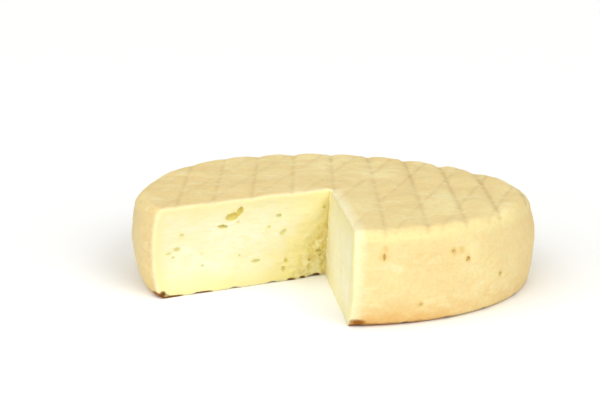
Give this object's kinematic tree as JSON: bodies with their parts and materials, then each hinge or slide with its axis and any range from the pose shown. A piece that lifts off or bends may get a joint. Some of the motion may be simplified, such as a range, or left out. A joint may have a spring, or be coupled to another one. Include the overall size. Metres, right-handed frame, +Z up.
{
  "type": "cut cheese wheel",
  "caption": "Low round wheel of soft washed-rind munster cheese with a wedge cut out, showing pale paste with small eyes under a tan rind marked by a drying rack.",
  "frame": {"origin": "the wheel's axis at the plane it stands on", "axes": "+Z up along the wheel's axis, the missing wedge opens towards -Y and a little towards -X"},
  "size_m": [0.1805, 0.1801, 0.0399],
  "materials": {
    "cheese": "soft cheese: tan washed rind outside, moist pale yellow paste on the cut faces"
  },
  "bodies": {
    "root": {"cheese_wheel": "cheese"}
  },
  "joints": []
}
